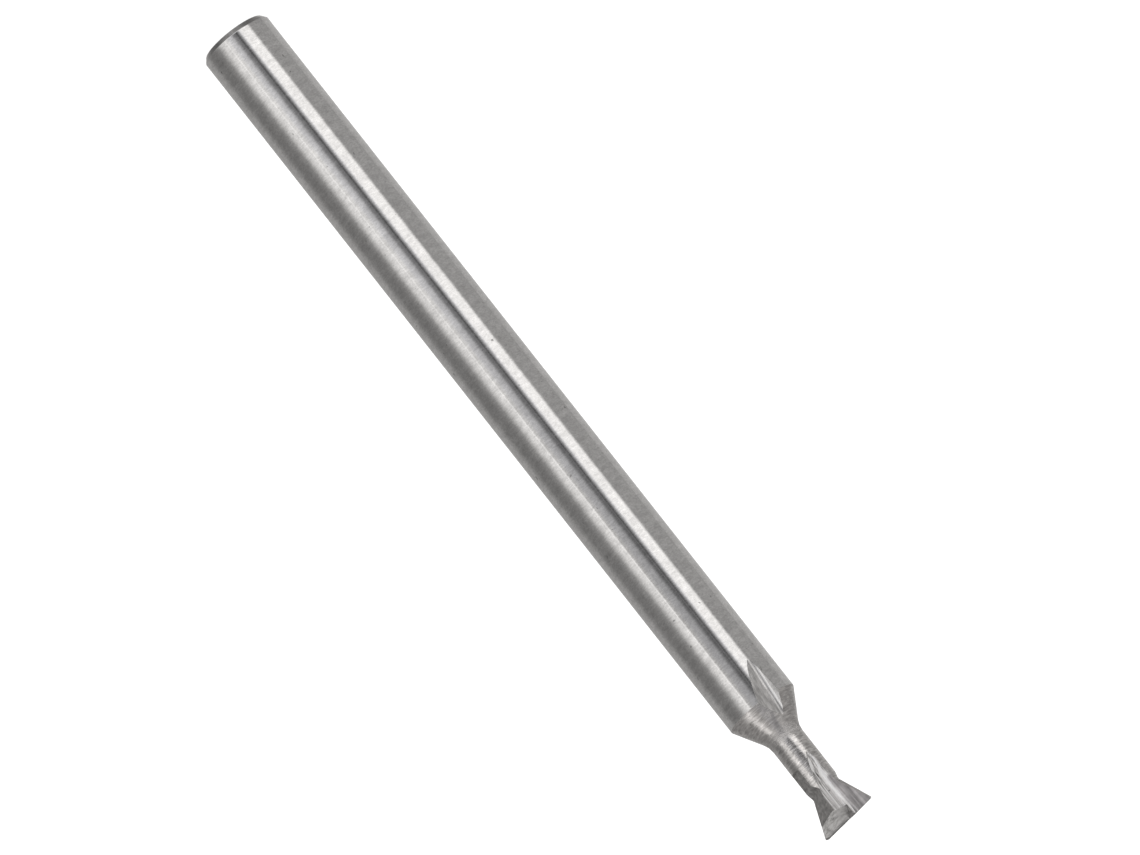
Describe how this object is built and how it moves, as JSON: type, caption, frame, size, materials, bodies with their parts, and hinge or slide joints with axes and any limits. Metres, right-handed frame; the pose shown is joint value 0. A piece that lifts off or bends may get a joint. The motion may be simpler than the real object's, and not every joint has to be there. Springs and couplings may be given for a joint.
{
  "type": "dovetail end mill",
  "caption": "Solid carbide dovetail end mill: plain round shank, conical shoulder, reduced neck and a flared straight-fluted head that cuts dovetail slots.",
  "frame": {"origin": "centre of the flat shank end", "axes": "+Z along the tool axis from the shank to the dovetail head; the first cutting edge lies over +X and its rake face looks towards +Y"},
  "size_m": [0.003, 0.003, 0.039],
  "materials": {
    "ground_carbide": "fine circumferential grinding on the shank, rougher rings on the neck, straight grinding lines on the flutes"
  },
  "bodies": {
    "root": {"end_mill": "ground_carbide"}
  },
  "joints": []
}
